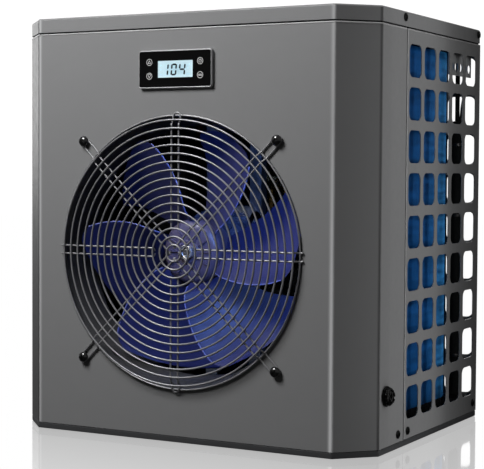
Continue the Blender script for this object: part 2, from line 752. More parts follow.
def grille_cells(first, columns):
    size = CELL + 2 * EDGE
    return [rounded_rect(first + i * COLUMN_PITCH + CELL / 2,
                         GRILLE_BOTTOM + k * ROW_PITCH + CELL / 2, size, size, 7.8, 6)
            for i in range(columns) for k in range(ROWS)]


front_holes = [circle(MIDDLE_U, FAN_Z, 140.6 + EDGE, 160),
               rounded_rect(MIDDLE_U + CONTROL_X, CONTROL_Z, 84.8, 34.0, 1.0, 3)]
for dx in (-GUARD_SCREW, GUARD_SCREW):
    for dz in (-GUARD_SCREW, GUARD_SCREW):
        front_holes.append(circle(MIDDLE_U + dx, FAN_Z + dz, 2.6 + EDGE, 16))
front_holes.append(circle(u_of_side(GLAND[1], 1), GLAND[2], 8.0 + EDGE, 24))
for side, _ in SIDES:
    front_holes.append(panel_hole(u_of_side(PANEL_SCREWS[0][0], side), PANEL_SCREWS[0][1]))
folded_sheet("front_panel_shell", PANEL_BOTTOM + EDGE, PANEL_TOP - EDGE, front_holes,
             thickness=1.0, depth=0.0, material="cabinet_paint", replaces="front_panel")
folded_sheet("front_panel_upstand", PANEL_TOP - 1.4, UPSTAND_TOP,
             [cover_hole(u_of_side(COVER_SCREWS[0][0], side), COVER_SCREWS[0][1])
              for side, _ in SIDES],
             thickness=1.0, depth=1.25, material="joggle_dark")
# the return fold between the face and the upstand closes the top edge
folded_sheet("front_panel_top_return", PANEL_TOP - 1.6, PANEL_TOP - 0.5, [],
             thickness=0.9, depth=0.9, material="joggle_dark")

side_outline = rect(SEAM_Y + 1.5 + EDGE, REAR_Y - 1.6 - EDGE,
                    PANEL_BOTTOM + EDGE, PANEL_TOP - EDGE)
side_screw_holes = [panel_hole(y, z) for y, z in PANEL_SCREWS[1:]]
water_holes = [circle(WATER_Y, z, 27 + EDGE, 64) for z in (INLET_Z, OUTLET_Z)]
wall_sheet("right_grille_shell", "x", SIDE_X, side_outline,
           grille_cells(-54.0, columns=5) + side_screw_holes,
           1.2, "cabinet_paint", "right_grille_panel")
wall_sheet("left_panel_shell", "x", -SIDE_X, side_outline, water_holes + side_screw_holes,
           1.2, "cabinet_paint", "left_panel", side=-1)
wall_sheet("rear_grille_shell", "y", REAR_Y,
           rect(-SIDE_X + EDGE, SIDE_X - EDGE, PANEL_BOTTOM + EDGE, PANEL_TOP - EDGE),
           grille_cells(-116.9, columns=8), 1.2, "cabinet_paint", "rear_grille_panel")
for side, label in SIDES:
    wall_sheet(label + "_panel_upstand", "x", side * (SIDE_X - 1.25),
               rect(SEAM_Y + 4, REAR_Y - 3, PANEL_TOP - 1.6, UPSTAND_TOP),
               [cover_hole(*COVER_SCREWS[1])], 1.0, "joggle_dark", side=side)
    wall_sheet(label + "_seam_strip", "x", side * (SIDE_X - 1.35),
               rect(SEAM_Y - 10, SEAM_Y + 3, 23, PANEL_TOP - 2),
               [], 1.0, "joggle_dark", side=side)
wall_sheet("rear_panel_upstand", "y", REAR_Y - 1.25,
           rect(-SIDE_X + 8, SIDE_X - 8, PANEL_TOP - 1.6, UPSTAND_TOP), [], 1.0, "joggle_dark")


def cabinet_outline(inwards):
    """Cabinet seen from above, moved inwards, with rounded vertical corners."""
    shift = inwards * BEND_TANGENT
    x, x_front = SIDE_X - inwards, CORNER_X - shift
    y_front, y_corner, y_rear = FRONT_Y + inwards, CORNER_Y + shift, REAR_Y - inwards
    bend, rear = max(0.3, BEND_RADIUS - inwards), max(0.3, 2.4 - inwards)
    return round_corners([(-x_front, y_front), (x_front, y_front), (x, y_corner),
                          (x, y_rear), (-x, y_rear), (-x, y_corner)],
                         [bend, bend, bend, rear, rear, bend])


# rolled upper edges of the sheets, and the rolled front edge of each side panel
BEAD_INSET = 0.45
BEAD_Z = PANEL_TOP - 0.65
BEAD_X, BEAD_REAR = SIDE_X - BEAD_INSET, REAR_Y - BEAD_INSET


def edge_bead(name, path):
    build(name, [sweep(path, 0.9)], "paint_edge", angle=50)


# the front run goes from the left seam round the front to the right seam
front_points = sorted((p for p in cabinet_outline(BEAD_INSET) if p[1] < SEAM_Y),
                      key=lambda p: math.atan2(p[0], SEAM_Y - p[1]))
front_run = [(-BEAD_X, SEAM_Y - 0.9)] + front_points + [(BEAD_X, SEAM_Y - 0.9)]
edge_bead("front_panel_rolled_edge", [(x, y, BEAD_Z) for x, y in front_run])
for side, label in SIDES:
    edge_bead(label + "_panel_rolled_edge", fillet_path([
        (side * BEAD_X, SEAM_Y + 2.4, PANEL_BOTTOM + 1.2),
        (side * BEAD_X, SEAM_Y + 2.4, BEAD_Z),
        (side * BEAD_X, REAR_Y - 2.2, BEAD_Z)], 1.6))
edge_bead("rear_panel_rolled_edge", [(-SIDE_X + 2.4, BEAD_REAR, BEAD_Z),
                                     (SIDE_X - 2.4, BEAD_REAR, BEAD_Z)])

# top cover and base pan: levels are (inset from the cabinet outline, z)
COVER_THICKNESS, COVER_RADIUS = 0.9, 2.2


def outline_shell(name, levels, material, replaces):
    rings = [[(x, y, z) for x, y in cabinet_outline(inwards)] for inwards, z in levels]
    build(name, [skin(rings)], material, replaces=replaces)


def cover_edge(inwards, steps):
    """Quarter round from the lip of the cover up to its top."""
    radius = COVER_RADIUS - inwards
    angles = [PI / 2 * i / steps for i in range(steps + 1)]
    return [(inwards + radius * (1 - math.cos(a)),
             HEIGHT - inwards - radius * (1 - math.sin(a))) for a in angles]


outline_shell(
    "top_cover_shell",
    [(6.0, HEIGHT - COVER_THICKNESS)] + cover_edge(COVER_THICKNESS, 4)[::-1]
    + [(COVER_THICKNESS, LIP_BOTTOM + 0.4), (0.7, LIP_BOTTOM + 0.2), (0.2, LIP_BOTTOM + 0.2),
       (0.0, LIP_BOTTOM + 0.4)]
    + cover_edge(0.0, 6) + [(6.0, HEIGHT)],
    "cabinet_paint", "top_cover")
# pan with a rolled rim and an upstand
outline_shell(
    "base_pan_shell",
    [(4.0, 0.0), (0.8, 0.0), (0.25, 0.2), (0.0, 0.8), (0.0, 5.4), (0.25, 6.0), (0.8, 6.2),
     (1.65, 6.2), (1.65, 21.8), (1.9, 22.0), (2.5, 22.0), (2.75, 21.8), (2.75, 2.4), (3.4, 1.6),
     (5.0, 1.6)],
    "base_sheet", "base_pan")


# ------------------------------------------------------------------ screws
# head profiles as (fraction of the radius, fraction of the height)
PAN_PROFILE = [(0.96, 0), (1, 0.14), (1, 0.45), (0.93, 0.68), (0.78, 0.86), (0.5, 0.98), (0, 1)]
DOME_PROFILE = [(1, 0), (1, 0.16), (0.97, 0.30), (0.88, 0.55), (0.70, 0.80), (0.42, 0.96), (0, 1)]


def screw_mesh(name, radius, height, head_profile):
    """Head with a cross recess on a short shank, axis +Z, underside of the head at 0."""
    profile = [(0, -4.0), (radius * 0.38, -4.0), (radius * 0.38, 0.0)]
    profile += [(radius * r, height * h) for r, h in head_profile]
    ob = bpy.data.objects.new(name, make_mesh(name, [lathe(profile, 32)]))
    scene.collection.objects.link(ob)
    slot_w, slot_l = radius * 0.13, radius * 0.52
    # the second slot starts a hair higher, so the two floors do not coincide
    for lift, half_x, half_y in ((0, slot_l, slot_w), (0.01, slot_w, slot_l)):
        bar = prism(rect(-half_x, half_x, -half_y, half_y),
                    height * 0.45 + lift, height * 1.6, "z")
        cutter = bpy.data.objects.new("cut", make_mesh("cut", [bar]))
        scene.collection.objects.link(cutter)
        boolean = ob.modifiers.new("b", "BOOLEAN")
        boolean.operation = "DIFFERENCE"
        boolean.solver = "EXACT"
        boolean.object = cutter
        bpy.context.view_layer.update()
        depsgraph = bpy.context.evaluated_depsgraph_get()
        cut_mesh = bpy.data.meshes.new_from_object(ob.evaluated_get(depsgraph))
        ob.modifiers.clear()
        ob.data = cut_mesh
        bpy.data.objects.remove(cutter)
    mesh = ob.data
    bpy.data.objects.remove(ob)
    return mesh


# each kind of screw: mesh, material
PAN_HEAD = (screw_mesh("pan_head_screw", 4.2, 1.9, PAN_PROFILE), "pan_black")
DOME_HEAD = (screw_mesh("dome_head_screw", 5.6, 3.9, DOME_PROFILE), "screw_black")


def place_screw(name, kind, position, normal, replaces=None, spin=0.3):
    mesh, material = kind[0].copy(), kind[1]
    ob = bpy.data.objects.new(name, mesh)
    turn = Vector((0, 0, 1)).rotation_difference(Vector(normal)).to_matrix().to_4x4()
    ob.matrix_world = (Matrix.Translation(Vector(position) * MM) @ turn
                       @ Matrix.Rotation(spin, 4, "Z"))
    scene.collection.objects.link(ob)
    mesh.materials.clear()
    mesh.materials.append(MATERIALS[material])
    mesh.shade_smooth()
    mesh.set_sharp_from_angle(angle=math.radians(35))
    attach(ob, "cabinet")
    if replaces:
        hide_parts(replaces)


for i, (sx, sz) in enumerate(((1, 1), (-1, 1), (-1, -1), (1, -1))):
    place_screw(f"guard_screw_{i+1}_dome", DOME_HEAD,
                (sx * GUARD_SCREW, FRONT_Y - 2.9, FAN_Z + sz * GUARD_SCREW), (0, -1, 0),
                f"guard_screw_{i+1}", spin=0.4 + 0.7 * i)
for side, label in SIDES:
    for group, screws, first_spin in (("panel", PANEL_SCREWS, 0.3), ("cover", COVER_SCREWS, 0.9)):
        for i, (y, z) in enumerate(screws):
            cad_name = f"{group}_screw_{label}_{i+1}"
            place_screw(cad_name + "_head", PAN_HEAD, (side * (SIDE_X + 0.1), y, z),
                        (side, 0, 0), cad_name, spin=first_spin + i)
for i, (x, z) in enumerate((x, z) for z in (434, 15) for x in (-190, 0, 190)):
    place_screw(f"rear_screw_{i+1}", PAN_HEAD, (x, REAR_Y + 0.1, z), (0, 1, 0), spin=0.5 * i)

# ------------------------------------------------------------------ outlet ring
OUTLET_PROFILE = [  # radius, depth behind the front face
    (150, 1.4), (141.4, 1.4), (140.2, 1.8), (139.4, 3.0), (138.4, 5.6), (136.8, 9.6),
    (135.2, 14.5), (133.5, 21), (132.2, 28), (131.3, 36), (131.0, 44), (132.4, 44.3),
    (132.8, 43.6), (133.0, 36), (134.0, 28), (135.4, 21), (137.2, 14), (139.4, 8),
    (141.2, 4.2), (143, 3.2), (150, 3.2)]
build("outlet_ring_shell", [lathe(OUTLET_PROFILE, 128, "y", FAN_CENTRE)], "dark_sheet",
      replaces="outlet_ring", angle=40)

# ------------------------------------------------------------------ fan guard
# depths relative to the front face: rings, spokes, mounting plane
RING_DEPTH, SPOKE_DEPTH, MOUNT_DEPTH = -8.0, -6.1, -1.6
RING_PITCH, RING_COUNT = 8.46, 16
SPOKE_OFFSET = 4.25    # spokes run in pairs, this far either side of their ray
HAIRPIN_DEPTH = MOUNT_DEPTH - 1.4


def guard_point(radius, sideways, angle, depth):
    """Point at a radius along a ray, moved sideways from it."""
    return (radius * math.cos(angle) - sideways * math.sin(angle), FRONT_Y + depth,
            FAN_Z + radius * math.sin(angle) + sideways * math.cos(angle))


def guard_ring(radius, depth, wire, count):
    path = [guard_point(radius, 0, 2 * PI * i / count, depth) for i in range(count)]
    return sweep(path, wire, closed=True)


def hairpin(angle, stations, loop_depth, fillet):
    """One wire out along (radius, depth) stations, round the end and back beside itself."""
    g, end = SPOKE_OFFSET, stations[-1][0]
    out = [guard_point(r, -g, angle, depth) for r, depth in stations]
    loop = [guard_point(end + g * math.sin(q), -g * math.cos(q), angle, loop_depth)
            for q in [PI * i / 12 for i in range(1, 12)]]
    back = [guard_point(r, g, angle, depth) for r, depth in stations[::-1]]
    return sweep(fillet_path(out, fillet) + loop + fillet_path(back, fillet), 1.0)


guard = [guard_ring(RING_PITCH * k, RING_DEPTH, 1.02, max(28, int(10 + 7.2 * k)))
         for k in range(1, RING_COUNT + 1)]
guard.append(guard_ring(140.0, MOUNT_DEPTH, 1.1, 128))
# diagonal spokes loop round the guard screws
for degrees in (45, 135, 225, 315):
    guard.append(hairpin(math.radians(degrees), [
        (3.0, SPOKE_DEPTH), (134.5, SPOKE_DEPTH), (141.0, MOUNT_DEPTH), (161.2, MOUNT_DEPTH)],
        loop_depth=MOUNT_DEPTH, fillet=5.0))
# level spokes: inner ends turn towards each other, outer ends are bent back onto the rim
for degrees in (0, 180):
    for s in (-SPOKE_OFFSET, SPOKE_OFFSET):
        stations = [(23.8, s * 0.45, SPOKE_DEPTH), (24.6, s, SPOKE_DEPTH),
                    (133.5, s, SPOKE_DEPTH), (139.2, s, MOUNT_DEPTH), (142.6, s, MOUNT_DEPTH)]
        path = [guard_point(r, sideways, math.radians(degrees), depth)
                for r, sideways, depth in stations]
        guard.append(sweep(fillet_path(path, 2.6), 1.0))
# upright spokes close just inside the rim
for degrees in (90, 270):
    guard.append(hairpin(math.radians(degrees), [
        (24.4, SPOKE_DEPTH), (130.5, SPOKE_DEPTH), (136.0, HAIRPIN_DEPTH),
        (138.6, HAIRPIN_DEPTH)], loop_depth=MOUNT_DEPTH - 1.0, fillet=3.0))
build("fan_guard_wires", guard, "guard_wire", replaces="fan_guard", angle=60, weighted=False)

# ------------------------------------------------------------------ fan
# near edge (towards the front) and far edge of a blade, by radius: angle in degrees
NEAR_ANGLE = [(30, -31.5), (40, -30.4), (50, -28.5), (60, -26.5), (70, -24.3), (80, -21.9),
              (90, -19.4), (100, -16.7), (110, -13.9), (118, -11.5), (126, -9.2)]
FAR_ANGLE = [(30, 25), (50, 26.2), (60, 27.2), (70, 28.4), (80, 29.9), (90, 31.6),
             (100, 33.6), (110, 35.8), (126, 40)]
# the same edges by radius: depth behind the front face
NEAR_DEPTH = [(30, 30), (32, 27), (34, 24), (37, 19), (40, 15.5), (44, 13), (50, 11.5), (126, 6.6)]
FAR_DEPTH = [(30, 49), (50, 52), (126, 74)]
BLADE_COUNT, BLADE_ROOT, BLADE_TIP = 6, 31.0, 126.0
BLADE_ROWS, BLADE_COLUMNS = 40, 28


def interpolate(table, x):
    if x <= table[0][0]:
        return table[0][1]
    for (x0, y0), (x1, y1) in zip(table, table[1:]):
        if x <= x1:
            return y0 + (y1 - y0) * (x - x0) / (x1 - x0)
    return table[-1][1]


def blade(turn):
    """Curved blade with rounded tip corners, thickest in the middle."""
    front, back = [], []
    for i in range(BLADE_ROWS + 1):
        f = i / BLADE_ROWS
        r = BLADE_ROOT + (BLADE_TIP - BLADE_ROOT) * (1 - (1 - f) ** 1.35)
        near_tip = max(0.0, (r - 113.5) / 12.5)
        cut = 1 - math.sqrt(max(0.0, 1 - near_tip * near_tip))
        near_angle = interpolate(NEAR_ANGLE, r) + 5.6 * cut
        far_angle = interpolate(FAR_ANGLE, r) - 5.6 * cut
        near_depth = interpolate(NEAR_DEPTH, r) + 4.6 * cut
        far_depth = interpolate(FAR_DEPTH, r) - 4.6 * cut
        camber = 3.0 * min(1, max(0, (r - 34) / 20))
        tip_thinning = 1.0 if r < 118 else max(0.4, 1 - (r - 118) / 12)
        for j in range(BLADE_COLUMNS + 1):
            u = 0.5 - 0.5 * math.cos(PI * j / BLADE_COLUMNS)
            angle = math.radians(turn + near_angle + (far_angle - near_angle) * u)
            depth = (near_depth + (far_depth - near_depth) * u ** 1.1
                     + camber * math.sin(PI * u))
            thickness = 0.5 + 1.9 * math.sin(PI * u) ** 0.5 * tip_thinning
            x, z = r * math.cos(angle), FAN_Z + r * math.sin(angle)
            front.append((x, FRONT_Y + depth, z))
            back.append((x, FRONT_Y + depth + thickness, z))
    row, n = BLADE_COLUMNS + 1, len(front)
    faces = []
    for i in range(BLADE_ROWS):
        for j in range(BLADE_COLUMNS):
            q = i * row + j
            faces.append((q, q + 1, q + 1 + row, q + row))
            faces.append((n + q, n + q + row, n + q + 1 + row, n + q + 1))
    for j in range(BLADE_COLUMNS):
        faces.append((j, n + j, n + j + 1, j + 1))
        q = BLADE_ROWS * row + j
        faces.append((q, q + 1, n + q + 1, n + q))
    for i in range(BLADE_ROWS):
        q = i * row
        faces.append((q, q + row, n + q + row, n + q))
        e = q + BLADE_COLUMNS
        faces.append((e, n + e, n + e + row, e + row))
    return front + back, faces


def blade_rim(turn):
    """Thin bead along the near edge of a blade."""
    path = []
    for i in range(15):
        r = 36 + (117 - 36) * i / 14
        angle = math.radians(turn + interpolate(NEAR_ANGLE, r))
        path.append((r * math.cos(angle), FRONT_Y + interpolate(NEAR_DEPTH, r) + 0.3,
                     FAN_Z + r * math.sin(angle)))
    return sweep(path, 0.75, 8)


blade_turns = [k * 360 // BLADE_COUNT for k in range(BLADE_COUNT)]
build("fan_blades", [blade(turn) for turn in blade_turns], "fan_blue", body="fan",
      replaces="fan_impeller", angle=50, weighted=False)
build("fan_blade_rims", [blade_rim(turn) for turn in blade_turns], "fan_rim", body="fan",
      angle=60, weighted=False)


def hub_flutes(angle, r, h):
    return r * (1 - 0.012 * wave(angle, 12)) if 26 < r < 34.5 and h < 30 else r


def hub_rib(angle):
    """Radial stiffening rib on the hub face."""
    outward = Vector((math.cos(angle), 0, math.sin(angle)))
    across = Vector((-math.sin(angle), 0, math.cos(angle)))
    corners = [Vector(FAN_CENTRE) + outward * r + across * s + Vector((0, y, 0))
               for r in (12.4, 25.5) for s in (-0.7, 0.7) for y in (21.2, 24.4)]
    return corners, BOX_FACES


# profiles round the fan axis: radius, depth behind the front face
HUB_PROFILE = [
    (5.8, 21.6), (11, 21.6), (12, 22.4), (13, 22.6), (22, 22.8), (27.5, 24.0), (31.2, 26.2),
    (33.4, 29.2), (34, 32), (34, 51), (33.4, 52), (31.8, 52), (31.2, 51), (31.2, 33),
    (28, 29.4), (12, 28.6), (11, 29), (11, 50), (5.8, 50)]
NUT_PROFILE = [(4.3, 16.4), (5.2, 15.4), (6.6, 14.8), (7.4, 15.2), (8.0, 16.2), (8.0, 20.8),
               (9.4, 21.0), (9.6, 21.5), (4.3, 21.5)]
SHAFT_PROFILE = [(0, 14.6), (2.6, 14.6), (3.4, 15.4), (3.9, 16.6), (3.9, 22.0), (5.0, 22.4),
                 (5.0, 71.5), (4.6, 72), (0, 72)]
MOTOR_PROFILE = [
    (6.2, 56), (12, 56), (13, 57), (13, 60), (15, 61.2), (30, 62), (36, 63.2), (40.2, 66),
    (42, 70), (42, 73), (42, 84), (42, 95), (42, 105), (42, 108), (40, 113), (34, 116.4),
    (20, 117.4), (0, 117.4), (0, 74), (6.2, 74)]

hub = [lathe(HUB_PROFILE, 96, "y", FAN_CENTRE, hub_flutes)]
hub += [hub_rib(2 * PI * i / 12) for i in range(12)]
build("fan_hub", hub, "fan_hub_blue", body="fan", angle=35)


def nut_hexagon(angle, r, h):
    """7 mm from the axis to each flat"""
    return 7.0 / math.cos((angle + PI / 6) % (PI / 3) - PI / 6) if r > 7.9 else r


build("fan_nut_turned", [lathe(NUT_PROFILE, 72, "y", FAN_CENTRE, nut_hexagon)], "plated_nut",
      body="fan", replaces="fan_nut", angle=28)
build("motor_shaft_turned", [lathe(SHAFT_PROFILE, 48, "y", FAN_CENTRE)], "steel",
      body="fan", replaces="motor_shaft", angle=28)


def motor_ribs(angle, r, h):
    return r - 1.3 * wave(angle, 28) ** 3 if r > 41 and 72 < h < 106 else r


motor = [lathe(MOTOR_PROFILE, 168, "y", FAN_CENTRE, motor_ribs)]
for i in range(4):  # screw heads on the front of the motor
    a = PI / 4 + i * PI / 2
    motor.append(lathe([(0, 60.6), (2.6, 60.6), (3.0, 61.2), (3.0, 64.0), (0, 64.0)], 12, "y",
                       (36 * math.cos(a), FRONT_Y, FAN_Z + 36 * math.sin(a))))
build("fan_motor_shell", motor, "motor_zinc", replaces="fan_motor", angle=30)
# thin motor lead that drops towards the pan
build("motor_lead", [sweep(fillet_path([
    (30, FRONT_Y + 100, FAN_Z + 30), (40, FRONT_Y + 96, FAN_Z + 44),
    (47, FRONT_Y + 96, FAN_Z + 20), (46, FRONT_Y + 100, 120), (60, FRONT_Y + 104, 60)],
    16, 7), 2.4)], "seal_rubber")

KEYS = [("key_up", -30, 7.4, "up_key"), ("key_down", -30, -6.7, "down_key"),
        ("key_power", 30, 7.4, "power_key"), ("key_set", 30, -6.7, "set_key")]
LCD_FRONT = FRONT_Y - 1.4


def control_rect(width, height, radius, steps, x=0, z=0):
    return rounded_rect(CONTROL_X + x, CONTROL_Z + z, width, height, radius, steps)


face_holes = [control_rect(41.8 + 2 * EDGE, 17.0 + 2 * EDGE, 0.6, 3)]
face_holes += [circle(CONTROL_X + x, CONTROL_Z + z, 4.05 + EDGE, 40) for _, x, z, _ in KEYS]
sheet("controller_face",
      control_rect(CONTROL_W - 1.6 - 2 * EDGE, CONTROL_H - 1.6 - 2 * EDGE, 2.2, 6),
      face_holes, 2.0, lambda x, z, height: (x, FRONT_Y - 2.7 + height, z),
      "gloss_black", "controller_housing")

# body behind the face: an open box that passes through the panel
outer, inner = control_rect(83.6, 33.0, 1.2, 4), control_rect(80.6, 30.0, 0.8, 4)
body_rings = [[(x, FRONT_Y + depth, z) for x, z in ring]
              for ring, depth in ((outer, -1.9), (outer, 13), (inner, 13), (inner, -1.9))]
build("controller_body", [skin(body_rings, closed=True)], "black_plastic")

# trim frame with a rounded section: inset, depth
TRIM_SECTION = [(0.0, -0.3), (-0.1, -2.2), (0.15, -3.2), (0.45, -3.75), (0.9, -4.0),
                (1.25, -3.9), (1.45, -3.5), (1.45, -0.3)]
trim_rings = []
for d, depth in TRIM_SECTION:
    ring = control_rect(CONTROL_W - 2 * d, CONTROL_H - 2 * d, max(0.6, 3.2 - d), 8)
    trim_rings.append([(x, FRONT_Y + depth, z) for x, z in ring])
build("controller_trim", [skin(trim_rings, closed=True)], "trim_silver", slot="gloss_black")
build("display_window_clear",
      [prism(control_rect(41.6, 16.8, 0.5, 3), FRONT_Y - 3.4, FRONT_Y - 2.7, bevel=0.15)],
      "clear_window", replaces="display_window")
build("lcd_panel",
      [prism(control_rect(47, 21, 1.0, 3), LCD_FRONT, FRONT_Y + 1.4, bevel=0.2)],
      "lcd_glass", replaces="lcd_display")

# seven-segment digits: a top, b and c right, d bottom, e and f left, g middle
DIGIT_SEGMENTS = {"0": "abcdef", "1": "bc", "4": "bcfg"}


def digit(character, left, width, height=12.0, bar=1.75, gap=0.22, slant=0.10):
    """Thin segment plates; left is measured from the controller centre."""
    def level(z):
        return [(bar * 0.35 + gap, z), (bar + gap, z + bar / 2),
                (width - bar - gap, z + bar / 2), (width - bar * 0.35 - gap, z),
                (width - bar - gap, z - bar / 2), (bar + gap, z - bar / 2)]

    def upright(x, z0, z1):
        tip, shoulder = gap + bar * 0.2, gap + bar * 0.6
        return [(x, z0 + tip), (x + bar / 2, z0 + shoulder), (x + bar / 2, z1 - shoulder),
                (x, z1 - tip), (x - bar / 2, z1 - shoulder), (x - bar / 2, z0 + shoulder)]

    half, right = height / 2, width - bar / 2
    shapes = {"a": level(height - bar / 2), "g": level(half), "d": level(bar / 2),
              "f": upright(bar / 2, half, height), "b": upright(right, half, height),
              "e": upright(bar / 2, 0, half), "c": upright(right, 0, half)}
    x0, z0 = CONTROL_X + left, CONTROL_Z - 6.4
    return [prism([(x0 + x + slant * z, z0 + z) for x, z in shapes[key]],
                  LCD_FRONT - 0.10, LCD_FRONT - 0.02) for key in DIGIT_SEGMENTS[character]]


build("lcd_digits", digit("1", -16.2, 6.8) + digit("0", -6.5, 6.8) + digit("4", 2.9, 7.6),
      "lcd_ink", slot="lcd_glass")
# small marks beside the digits: x, z, width, height
LCD_ICONS = ((14.2, 3.6, 3.0, 0.6), (14.2, 1.2, 0.6, 3.0), (16.0, 4.8, 1.0, 1.0),
             (-17.8, 4.2, 2.2, 0.7), (-17.8, -4.8, 2.2, 0.7), (-17.8, -0.4, 1.2, 1.2),
             (14.6, -5.2, 3.2, 0.6))
build("lcd_icons",
      [prism(control_rect(w, h, min(w, h) * 0.3, 2, x, z), LCD_FRONT - 0.10, LCD_FRONT - 0.02)
       for x, z, w, h in LCD_ICONS], "lcd_ghost", slot="lcd_glass")

# symbols printed on the keys: strokes of (points, width)
POWER_ARC = [(1.55 * math.cos(q), 1.55 * math.sin(q))
             for q in [math.radians(60 - 300 * i / 14) for i in range(15)]]
SYMBOLS = {
    "key_up": [([(-1.6, -1.1), (1.6, -1.1), (0, 1.7), (-1.6, -1.1)], 0.5)],
    "key_down": [([(-1.5, 0.9), (-0.75, 2.0), (0.75, 2.0), (1.5, 0.9), (0, -1.9),
                   (-1.5, 0.9)], 0.5)],
    "key_power": [(POWER_ARC, 0.5), ([(0, 0.1), (0, 2.0)], 0.5)],
    "key_set": [([(-2.0, 0.55), (2.0, 0.55)], 0.6), ([(-2.0, -0.55), (2.0, -0.55)], 0.6)],
}
KEY_PROFILE = [  # radius, depth
    (0, -4.15), (2.0, -4.18), (3.1, -4.25), (3.5, -4.2), (3.68, -3.95), (3.7, -3.6),
    (3.7, -1.3), (4.3, -1.3), (4.3, -0.4), (1.6, -0.4), (1.6, 4.6), (0, 4.6)]


def stroke(points, width, x, z):
    """Thin bars along a polyline about (x, z), each slightly longer than its segment."""
    bars = []
    for start, end in zip(points, points[1:]):
        along = (Vector(end) - Vector(start)).normalized()
        side = Vector((-along.y, along.x)) * (width / 2)
        extra = along * (width / 2 * 0.6)
        a, b = Vector(start) - extra, Vector(end) + extra
        outline = [(x + p.x, z + p.y) for p in (a - side, b - side, b + side, a + side)]
        bars.append(prism(outline, FRONT_Y - 4.30, FRONT_Y - 4.15))
    return bars


for name, dx, dz, body in KEYS:
    centre = (CONTROL_X + dx, FRONT_Y, CONTROL_Z + dz)
    build(name + "_cap", [lathe(KEY_PROFILE, 48, "y", centre)], "key_black", body=body,
          replaces=name, angle=35)
    symbol = [lathe([(2.90, -4.28), (3.42, -4.28), (3.42, -4.18), (2.90, -4.18)], 40, "y",
                    centre)]
    for points, width in SYMBOLS[name]:
        symbol += stroke(points, width, centre[0], centre[2])
    build(name + "_symbol", symbol, "print_grey", body=body, slot="key_black", weighted=False)


# ------------------------------------------------------------------ cable gland
# profiles are (radius, distance outside the right side)
def flange_notches(angle, r, h):
    return r if r < 9.5 else r * (1 - 0.035 * wave(angle, 12) ** 4)


def locknut_hexagon(angle, r, h):
    return r if r < 9 else min(r, r * 0.9 / math.cos(angle % (PI / 3) - PI / 6))


def cap_grip(angle, r, h):
    return r * (1 - 0.07 * wave(angle, 10) ** 2) if r > 6.9 and 2.9 < h < 5.4 else r


def seal_teeth(angle, r, h):
    return r - (0.4 if math.cos(8 * angle) > 0.55 and r < 4.5 else 0)


build("gland_body_flange", [lathe([
    (4.4, -10), (7.2, -10), (7.4, -9.6), (7.4, 0.3), (9.9, 0.3), (10.4, 0.7), (10.4, 1.9),
    (10.1, 2.3), (9.6, 2.4), (6.0, 2.4), (6.0, 4.1), (5.8, 4.4), (4.4, 4.4)],
    72, "x", GLAND, flange_notches)], "gland_black", replaces="gland_body", angle=28)
build("gland_locknut_hex", [lathe([(7.8, -5.6), (10.6, -5.6), (10.6, -1.4), (7.8, -1.4)],
                                  72, "x", GLAND, locknut_hexagon)],
      "gland_black", replaces="gland_locknut", angle=28)

FINGER_COUNT, FINGER_STEPS = 6, 6
FINGER_SECTION = [(4.9, 5.7), (7.3, 5.7), (7.25, 6.6), (7.0, 7.4), (6.4, 7.8), (5.2, 7.8),
                  (4.7, 7.5), (4.7, 6.6)]


def gland_finger(index):
    """Clamping finger that closes on the cable, bent inwards at the tip."""
    middle = 2 * PI * (index + 0.25) / FINGER_COUNT
    half = PI / FINGER_COUNT * 0.60
    angles = [middle - half + 2 * half * i / FINGER_STEPS for i in range(FINGER_STEPS + 1)]
    return skin([[(GLAND[0] + h, GLAND[1] + r * math.cos(a), GLAND[2] + r * math.sin(a))
                  for r, h in FINGER_SECTION] for a in angles])


gland_cap = [lathe([
    (6.5, 2.7), (9.0, 2.7), (9.3, 3.0), (9.3, 4.7), (9.0, 5.3), (8.4, 5.9), (7.6, 6.3),
    (6.5, 6.4), (6.5, 5.6)], 100, "x", GLAND, cap_grip)]
gland_cap += [gland_finger(k) for k in range(FINGER_COUNT)]
build("gland_cap_fingers", gland_cap, "gland_black", body="gland_cap",
      replaces="gland_cap_nut", angle=40)
build("gland_seal_ring", [lathe([
    (3.5, 4.7), (5.7, 4.7), (5.9, 4.95), (5.9, 6.0), (5.6, 6.3), (4.0, 6.3), (3.5, 6.0)],
    64, "x", GLAND, seal_teeth)], "seal_rubber", replaces="gland_seal", angle=30)

# ------------------------------------------------------------------ evaporator
# L-shaped coil seen from above: a leg along the right side, a bend, a leg along the rear
COIL_X, COIL_REAR = 196.0, 136.5          # outer faces
COIL_THICKNESS, COIL_BEND = 25.0, 60.0    # the bend radius is that of the outer face
COIL_FRONT, COIL_LEFT = -70.0, -126.0     # ends of the two legs
COIL_BOTTOM, COIL_TOP = 30.0, 410.0
HALF_COIL = COIL_THICKNESS / 2
MID_RADIUS = COIL_BEND - HALF_COIL
BEND_CENTRE = Vector((COIL_X - COIL_BEND, COIL_REAR - COIL_BEND))
SIDE_LEG = COIL_REAR - COIL_BEND - COIL_FRONT
BEND_LENGTH = PI / 2 * MID_RADIUS
COIL_LENGTH = SIDE_LEG + BEND_LENGTH + COIL_X - COIL_BEND - COIL_LEFT
FIN_PITCH = 2.1
TUBE_PITCH, TUBE_RADIUS = 21, 3.6
TUBE_ROWS = ((-6.2, 0), (6.2, 10.5))      # offset inwards from the mid line, rise


